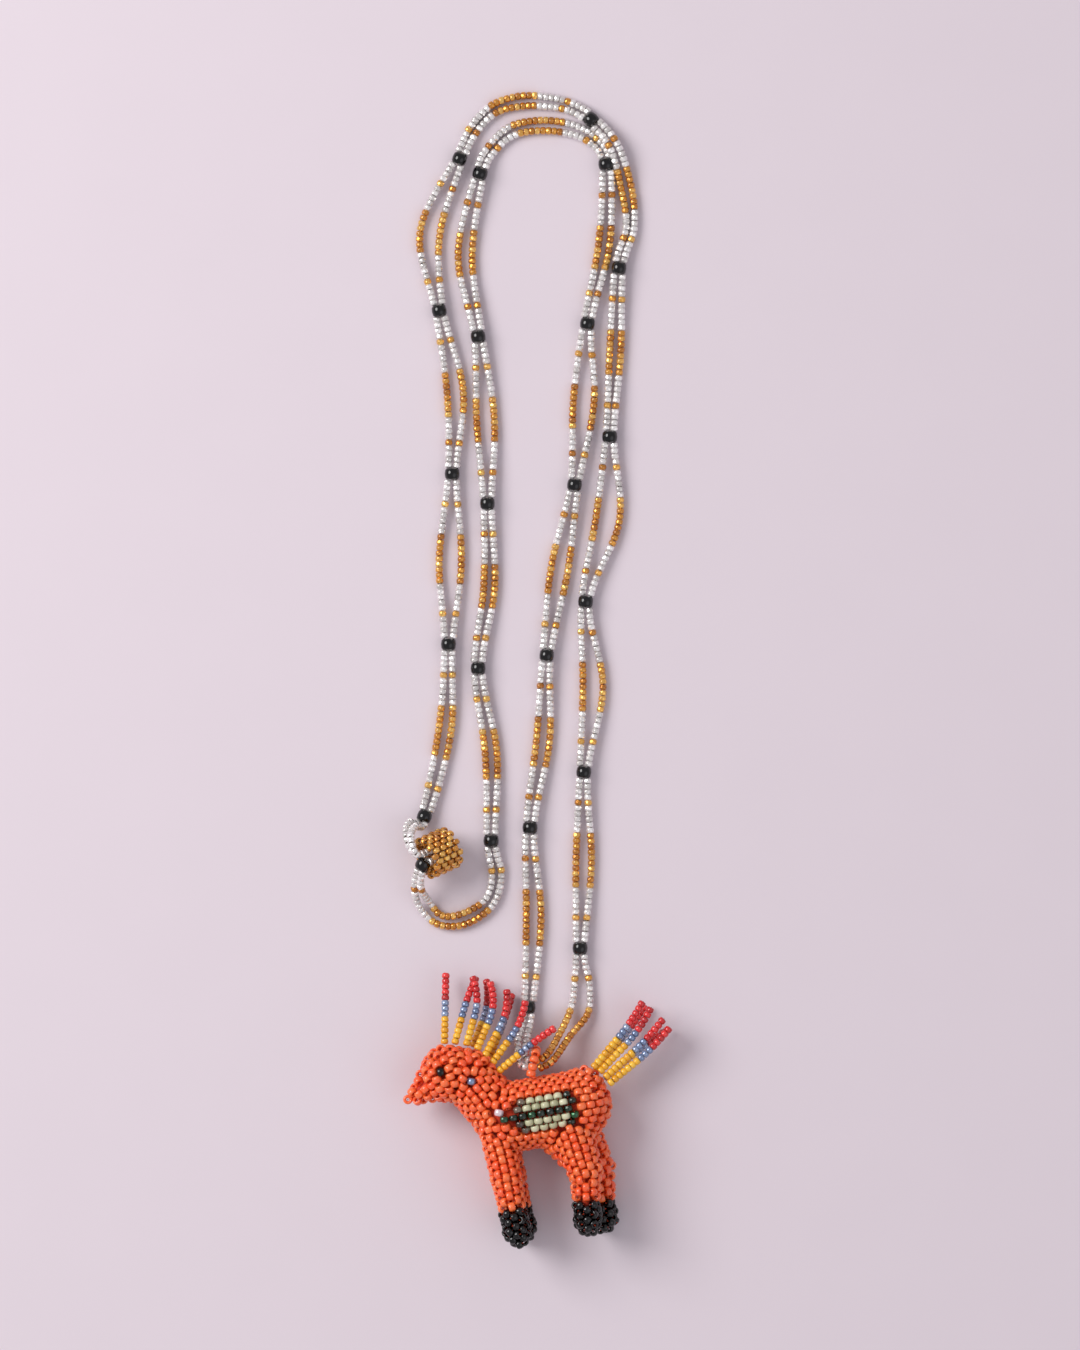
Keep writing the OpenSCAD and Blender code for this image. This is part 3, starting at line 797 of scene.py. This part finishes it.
# By how far a row is from the middle one: where it starts and ends, and how many pale beads it has
ROW_START, ROW_END, ROW_PALE = {1: -6.65, 2: -5.4}, {1: 8.35, 2: 7.1}, {1: 5, 2: 4}


def set_bead(centre, radius, dx, dy, side, proud):
    """A bead's centre in the skin of a ball, seen from above at the offset dx, dy, and raised
    by proud."""
    height = math.sqrt(radius ** 2 - dx ** 2 - dy ** 2)
    share = (radius - BEAD_R - SUNK + proud) / radius
    return centre + np.array([dx, dy, side * height]) * share


def wing_bead(u, row, side):
    """(centre, hole direction) of a wing bead: u along the body tube, row round it."""
    turn = math.radians(WING_TURN * row)
    y, z = WING_R * math.sin(turn), side * WING_R * math.cos(turn)
    ty, tz = math.cos(turn), -side * math.sin(turn)
    c, s = math.cos(BODY_TILT), math.sin(BODY_TILT)
    middle = (CHEST + RUMP) / 2
    return (middle + [u * c - y * s, u * s + y * c, z], np.array([-ty * s, ty * c, tz]))


def wing_rows(kind):
    """(u, row) of each bead of one colour of the wing."""
    if kind == "pale":
        return [(ROW_START[abs(row)] + WING_PITCH * (j + 1), row)
                for row in OUTER_ROWS for j in range(ROW_PALE[abs(row)])]
    if kind == "green":
        return [(MIDDLE_START + WING_PITCH * j, 0) for j in range(8)] + [
            (ROW_END[abs(row)], row) for row in OUTER_ROWS]
    return [(ROW_START[abs(row)], row) for row in OUTER_ROWS]


def horse_piece(piece, node_name):
    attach(piece, "horse")
    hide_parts(node_name)


# Single beads: node, ball that they sit in and its radius, offset from its middle, how proud
# they are, hole direction, glass and slot
SET_BEADS = [
    ("eye_beads", CHEEK, HEAD_R, (-2.3, 0.9), 0.1, [1.0, 0.15, 0], BLACK, "black_beads"),
    ("cheek_beads", THROAT, THROAT_R, (2.1, -1.3), 0.25, [0.2, 1.0, 0], BLUE, "blue_beads"),
    ("chest_beads", CHEST, BODY_R, (-3.2, 1.8), 0.1, [0.2, 1.0, 0], PEARL, "pearl_beads"),
]
fixed_beads = []
for name, ball, r, offset, proud, hole, glass, slot in SET_BEADS:
    centres = [set_bead(ball, r, *offset, side, proud) for side in (1, -1)]
    fixed_beads += centres
    horse_piece(beads(f"{name}_glass", centres, [hole] * 2, BODY_BEAD, glass, spread=0.1),
                name)
for kind, glass in (("pale", PALE), ("green", GREEN), ("bronze", BRONZE)):
    both_sides = [wing_bead(u, row, side) for side in (1, -1) for u, row in wing_rows(kind)]
    centres = [centre for centre, _ in both_sides]
    fixed_beads += centres
    horse_piece(
        beads(f"wing_{kind}_glass", centres, [hole for _, hole in both_sides], WING_BEAD,
              glass, wobble=0.04),
        f"wing_{kind}_beads",
    )
fixed_beads = np.array(fixed_beads)

# ---- the orange skin ----

ALL_LIMBS = BODY_LIMBS + [limb for name in LEGS for limb in leg_limbs(name)]
SKIN_END, HOOF_START = 0.2, 0.9     # past the ankle: where the orange ends and the black starts
SHIN_R, SHIN_SPARE = 5, 8           # a limb that surely holds a leg's end


def above_ankles(points):
    """Which points are on the skin and not past the end of a leg."""
    keep = np.ones(len(points), bool)
    for name in LEGS:
        (knee, _), (ankle, _) = leg_joints(name)[1:]
        down = unit(ankle - knee)
        near = limb_distance(points, (knee, ankle + down * SHIN_SPARE, SHIN_R, SHIN_R)) < 1
        keep &= ~(near & ((points - ankle) @ down > SKIN_END))
    return keep


def make_skin():
    centres = cover(horse_distance, ALL_LIMBS, fixed_beads, above_ankles, fills=3)
    holes = bead_frames(horse_distance, centres, ALL_LIMBS)[2]
    parts = {"body_skin": BODY_LIMBS, **{name: leg_limbs(name) for name in LEGS}}
    near = np.array([
        np.min([limb_distance(centres, limb) for limb in limbs], axis=0)
        for limbs in parts.values()
    ])
    for k, name in enumerate(parts):
        mine = near.argmin(0) == k
        horse_piece(
            beads(f"{name}_beads", centres[mine], holes[mine], BODY_BEAD, ORANGE, wobble=0.06),
            name,
        )


make_skin()

# ---- the hooves: tight lumps of black beads ----

HOOF_LUMPS = (-0.55, 0.1)  # how far the beads lie out of line, inwards and outwards


def make_hooves():
    for name, (_, hoof_len, _) in LEGS.items():
        (knee, _), (ankle, _) = leg_joints(name)[1:]
        down = unit(ankle - knee)
        limb = (ankle - down * 1.0, ankle + down * (hoof_len - HOOF_R), HOOF_R - 0.05, HOOF_R)

        def distance(points, limb=limb):
            return limb_distance(points, limb)

        def below_ankle(points, ankle=ankle, down=down):
            return (points - ankle) @ down > HOOF_START

        centres = cover(distance, [limb], np.zeros((0, 3)), below_ankle, fills=2)
        normal, _, holes = bead_frames(distance, centres, [limb])
        lumps = RANDOM.uniform(*HOOF_LUMPS, len(centres))[:, None]
        node_name = name.replace("leg", "hoof")
        horse_piece(
            beads(f"{node_name}_beads", centres + normal * lumps, holes, BODY_BEAD, BLACK,
                  wobble=0.4),
            node_name,
        )


make_hooves()

# ---- the hanging loop on the back ----

LOOP_ROOT = np.array([-3, 8.9, MID])
LOOP_LEAN = math.radians(13)
LOOP_R, LOOP_PITCH, LOOP_START = 3.5, 1.85, 0.35
LOOP_LEG, LOOP_ARC = 2, 5  # beads in each straight side, and in the half circle
LEG_BEAD_LENGTH, ARC_BEAD_LENGTH = 1.8, 1.7


def make_loop():
    lean = np.array([[math.cos(LOOP_LEAN), -math.sin(LOOP_LEAN), 0],
                     [math.sin(LOOP_LEAN), math.cos(LOOP_LEAN), 0], [0, 0, 1]])
    places, ways, lengths = [], [], []
    for side in (1, -1):
        for i in range(LOOP_LEG):
            places.append([0, LOOP_START + (i + 0.5) * LOOP_PITCH, side * LOOP_R])
            ways.append([0, 1, 0])
            lengths.append(LEG_BEAD_LENGTH)
    for i in range(LOOP_ARC):
        turn = math.radians((i + 0.5) * 180 / LOOP_ARC)
        places.append([0, LOOP_START + LOOP_LEG * LOOP_PITCH + LOOP_R * math.sin(turn),
                       LOOP_R * math.cos(turn)])
        ways.append([0, math.cos(turn), -math.sin(turn)])
        lengths.append(ARC_BEAD_LENGTH)
    centres = LOOP_ROOT + np.array(places) @ lean
    piece = beads("loop_beads_glass", centres, np.array(ways) @ lean,
                  (BODY_BEAD[0], np.array(lengths)), ORANGE, overhang=0.2, wobble=0.03)
    horse_piece(piece, "loop_beads")


make_loop()

# ---- mane and tail: strands of small beads ----

# Mane strands: root x, y, height from the mid-plane, heading, droop, and how far the heading
# turns over the last beads
MANE = [
    (-26.0, 17.8, 0.3, 89, 14, 0), (-23.3, 17.8, 0.6, 75, 14, -8), (-20.2, 17.4, 1.0, 74, 12, 30),
    (-17.3, 16.3, 1.0, 67, 11, 34), (-15.3, 14.5, 1.0, 62, 9, 26), (-13.3, 12.6, 1.0, 54, 4, 22),
    (-11.6, 10.5, 1.0, 40, -7, -6), (-18.4, 16.9, -2.4, 70, 17, 24),
    (-14.2, 13.5, -2.4, 68, 17, 6),
]
# Tail strands: root direction from the rump in plan and above the mid-plane, heading, droop,
# and how far the heading turns
TAIL = [
    (63, 8, 50, 4, 8), (51, 8, 46, 4, 14), (39, 8, 42, 4, 8), (27, 8, 39, 4, 10),
    (57, -14, 50, 13, 4), (37, -14, 40, 13, -8),
]
FRINGE_PITCH = 1.5
ROOT_GAP = 0.15
STRAIGHT_SHARE = 0.4       # how much of a strand is straight before it turns
TIP_TURN = 1.4             # how much further than its mean the last bead turns
TAIL_SHIFT = np.array([-0.2, 1.3, 0])   # the tail sits a little high on the rump
# Beads of each colour in a strand, from its root: yellow, blue, red
MANE_BEADS, TAIL_BEADS = (5, 3, 5), (7, 3, 5)


def fringe_line(root, heading, droop, turn, count):
    """(bead centres, directions) of a strand that leaves its root along its heading and turns
    towards its tip."""
    place = np.array(root, float)
    centres, ways = [], []
    fall = math.radians(droop)
    for i in range(count):
        share = max(0.0, (i - count * STRAIGHT_SHARE) / (count * (1 - STRAIGHT_SHARE)))
        plan = math.radians(heading + turn * share * TIP_TURN)
        way = np.array([math.cos(plan) * math.cos(fall), math.sin(plan) * math.cos(fall),
                        -math.sin(fall)])
        if i == 0:
            place = place + way * ROOT_GAP
        centres.append(place + way * FRINGE_PITCH / 2)
        ways.append(way)
        place = place + way * FRINGE_PITCH
    return np.array(centres), np.array(ways)


def make_fringe(name, root, heading, droop, turn, counts):
    """One strand as a piece of each colour. The record has no slot for the red beads."""
    centres, ways = fringe_line(root, heading, droop, turn, sum(counts))
    colours = (("yellow", YELLOW, "yellow_beads"), ("blue", BLUE, "blue_beads"), ("red", RED, None))
    start = 0
    for (suffix, glass, slot), count in zip(colours, counts):
        part = slice(start, start + count)
        piece = beads(f"{name}_{suffix}", centres[part], ways[part], SEED_BEAD, glass,
                      PALE_THREAD, overhang=0.12, wobble=0.07)
        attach(piece, name)
        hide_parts(name)
        start += count


for i, (x, y, h, heading, droop, turn) in enumerate(MANE):
    make_fringe(f"mane_{i + 1}", (x, y, MID + h), heading, droop, turn, MANE_BEADS)
for i, (plan, rise, heading, droop, turn) in enumerate(TAIL):
    plan, rise = math.radians(plan), math.radians(rise)
    out = np.array([math.cos(plan) * math.cos(rise), math.sin(plan) * math.cos(rise),
                    math.sin(rise)])
    root = RUMP + (BODY_R + ROOT_GAP) * out + TAIL_SHIFT
    make_fringe(f"tail_{i + 1}", root, heading, droop, turn, TAIL_BEADS)

# ---- what shows of the CAD model itself ----

CAD_MATERIALS = {
    "body_stuffing": STUFFING, "front_core_near": STUFFING, "front_core_far": STUFFING,
    "hind_core_near": STUFFING, "hind_core_far": STUFFING, "loop_thread": ORANGE_THREAD,
}
for name, material in CAD_MATERIALS.items():
    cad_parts[name].data.materials.clear()
    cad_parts[name].data.materials.append(material)

# ---- floor and light ----

FLOOR_SHADE = (0.72, 0.64, 0.69)
FLOOR_HALF = 2.0
FLOOR_DROP = 0.0001        # how far the floor lies under the lowest bead
LIT_POINT = (0, 0.1, 0)


def floor_material():
    material, tree, shader = new_material("pale paper")
    place = node(tree, "ShaderNodeTexCoord").outputs["Object"]
    grain = node(tree, "ShaderNodeTexNoise", {"Scale": 40.0, "Detail": 4.0})
    tree.links.new(place, grain.inputs["Vector"])
    stops = [(0.3, FLOOR_SHADE), (0.7, tuple(c * 1.01 for c in FLOOR_SHADE))]
    tree.links.new(ramp(tree, grain.outputs["Fac"], stops), shader.inputs["Base Color"])
    shader.inputs["Roughness"].default_value = 0.85
    return material


def make_floor():
    half = FLOOR_HALF
    mesh = bpy.data.meshes.new("floor")
    mesh.from_pydata([(-half, -half, 0), (half, -half, 0), (half, half, 0), (-half, half, 0)],
                     [], [(0, 1, 2, 3)])
    mesh.materials.append(floor_material())
    floor = bpy.data.objects.new("floor", mesh)
    floor.location.z = -FLOOR_DROP
    bpy.context.scene.collection.objects.link(floor)


def area_light(name, place, size, energy, colour):
    data = bpy.data.lights.new(name, "AREA")
    data.shape = "DISK"
    data.size = size
    data.energy = energy
    data.color = colour
    light = bpy.data.objects.new(name, data)
    light.location = place
    light.rotation_euler = (Vector(LIT_POINT) - Vector(place)).to_track_quat("-Z", "Y").to_euler()
    bpy.context.scene.collection.objects.link(light)


make_floor()
area_light("window", (-1.0, 0.55, 0.95), size=0.9, energy=16.2, colour=(1.0, 0.985, 0.98))
area_light("fill", (0.9, -0.4, 1.2), size=1.4, energy=3.0, colour=(0.96, 0.95, 1.0))

world = bpy.data.worlds.new("studio")
world.use_nodes = True
background = world.node_tree.nodes["Background"]
background.inputs["Color"].default_value = (0.93, 0.90, 0.95, 1)
background.inputs["Strength"].default_value = 0.5
bpy.context.scene.world = world
bpy.context.scene.view_settings.view_transform = "Standard"
